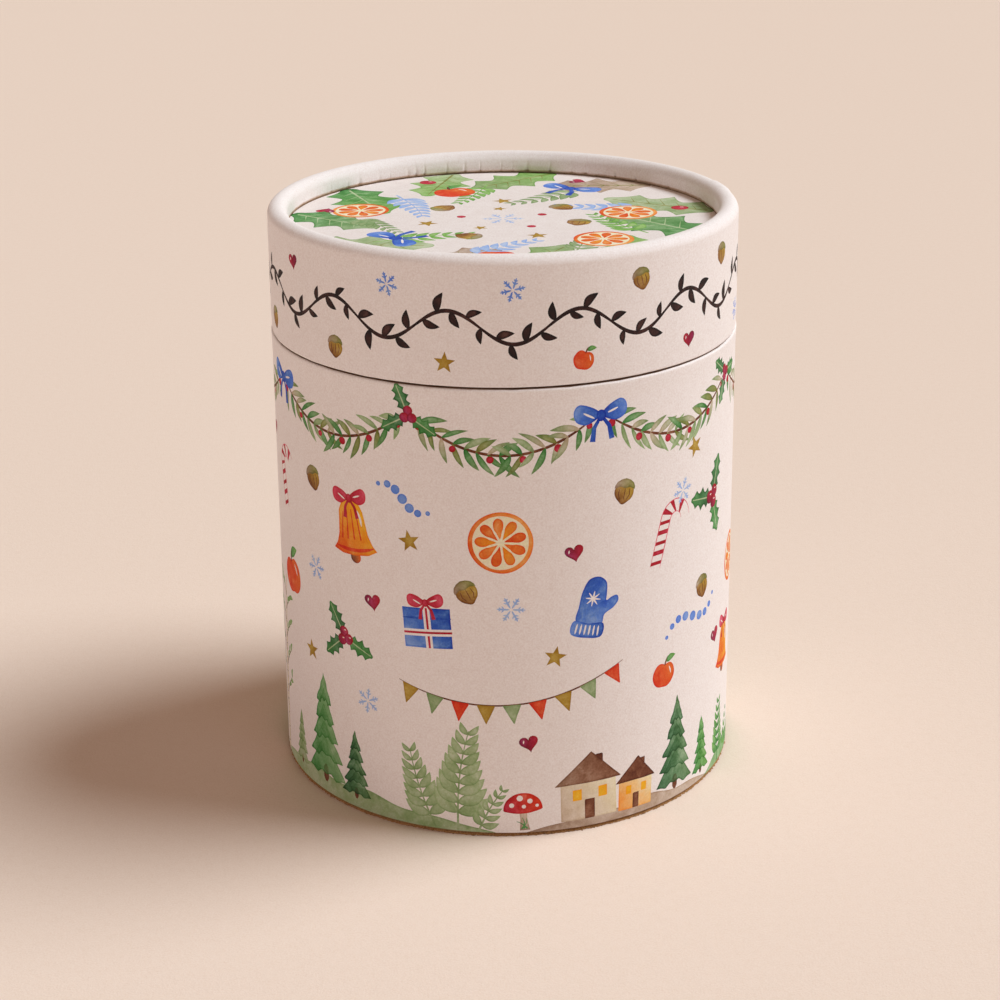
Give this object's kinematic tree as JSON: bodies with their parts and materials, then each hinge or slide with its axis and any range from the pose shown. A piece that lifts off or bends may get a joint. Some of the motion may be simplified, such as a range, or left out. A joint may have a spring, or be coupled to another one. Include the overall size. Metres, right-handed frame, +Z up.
{
  "type": "gift tin",
  "caption": "Round paperboard gift tin with an inner neck tube and a flush lift-off lid whose top edge is a rolled rim.",
  "frame": {"origin": "centre of the bottom ring that the tin stands on", "axes": "+Z up along the tube's axis; the front faces -Y; the printed papers' overlap seams are at the back, +Y"},
  "size_m": [0.1, 0.1, 0.125],
  "materials": {
    "tube_board": "matt, cut edge of wound board",
    "disc_board": "matt, punched solid board",
    "printed_paper": "uncoated matt paper with a watercolour print",
    "plain_paper": "uncoated matt paper",
    "kraft_paper": "matt brown kraft paper",
    "greaseproof_paper": "smooth grease-proof paper with a faint sheen"
  },
  "bodies": {
    "body": {"body_tube": "tube_board", "body_wrap": "printed_paper", "neck_tube": "tube_board", "neck_facing": "kraft_paper", "neck_lining": "greaseproof_paper", "base_disc": "disc_board", "base_facing": "plain_paper", "base_lining": "greaseproof_paper"},
    "lid": {"lid_tube": "tube_board", "lid_wrap": "printed_paper", "lid_lining": "greaseproof_paper", "lid_disc": "disc_board", "lid_facing": "printed_paper", "lid_underlay": "greaseproof_paper"}
  },
  "joints": [
    {"name": "lid_lift", "type": "slide", "parent": "body", "child": "lid", "axis": [0, 0, 1], "range_m": [0, 0.12]}
  ]
}
